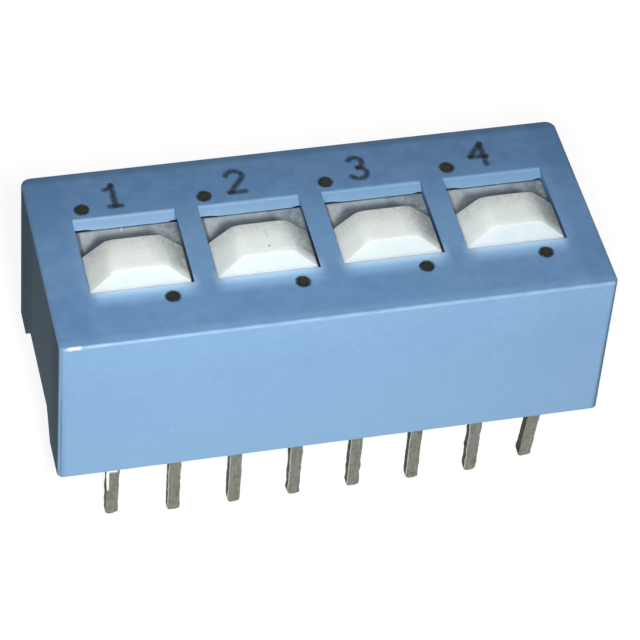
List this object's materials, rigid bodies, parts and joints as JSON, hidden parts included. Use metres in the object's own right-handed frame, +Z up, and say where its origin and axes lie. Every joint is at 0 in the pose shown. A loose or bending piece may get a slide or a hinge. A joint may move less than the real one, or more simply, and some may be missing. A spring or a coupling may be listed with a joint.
{
  "type": "dip switch",
  "caption": "Through-hole slide switch in a moulded housing, with raised sliding knobs in windows over two rows of legs.",
  "frame": {"origin": "middle of the leg pattern, on the plane of the housing's bottom rim, which seats on the circuit board", "axes": "+X along the leg rows from the first station to the last, +Y across the rows from the front to the back, +Z up out of the board"},
  "size_m": [0.0226, 0.0098, 0.0122],
  "materials": {
    "housing_plastic": "blue moulded thermoplastic, satin",
    "base_plastic": "black moulded thermoplastic",
    "seal_resin": "poured resin",
    "slider_plastic": "white moulded thermoplastic, satin",
    "contact_metal": "plated spring strip",
    "terminal_metal": "tinned copper alloy strip"
  },
  "bodies": {
    "body": {"housing": "housing_plastic", "base": "base_plastic", "seal": "seal_resin", "common_terminal_1": "terminal_metal", "common_terminal_2": "terminal_metal", "common_terminal_3": "terminal_metal", "common_terminal_4": "terminal_metal", "front_terminal_1": "terminal_metal", "front_terminal_2": "terminal_metal", "front_terminal_3": "terminal_metal", "front_terminal_4": "terminal_metal", "back_terminal_1": "terminal_metal", "back_terminal_2": "terminal_metal", "back_terminal_3": "terminal_metal", "back_terminal_4": "terminal_metal"},
    "switch_1": {"slider_1": "slider_plastic", "spring_contact_1": "contact_metal"},
    "switch_2": {"slider_2": "slider_plastic", "spring_contact_2": "contact_metal"},
    "switch_3": {"slider_3": "slider_plastic", "spring_contact_3": "contact_metal"},
    "switch_4": {"slider_4": "slider_plastic", "spring_contact_4": "contact_metal"}
  },
  "joints": [
    {"name": "slide_1", "type": "slide", "parent": "body", "child": "switch_1", "axis": [0, 1, 0], "range_m": [0, 0.00195]},
    {"name": "slide_2", "type": "slide", "parent": "body", "child": "switch_2", "axis": [0, 1, 0], "range_m": [0, 0.00195]},
    {"name": "slide_3", "type": "slide", "parent": "body", "child": "switch_3", "axis": [0, 1, 0], "range_m": [0, 0.00195]},
    {"name": "slide_4", "type": "slide", "parent": "body", "child": "switch_4", "axis": [0, 1, 0], "range_m": [0, 0.00195]}
  ]
}
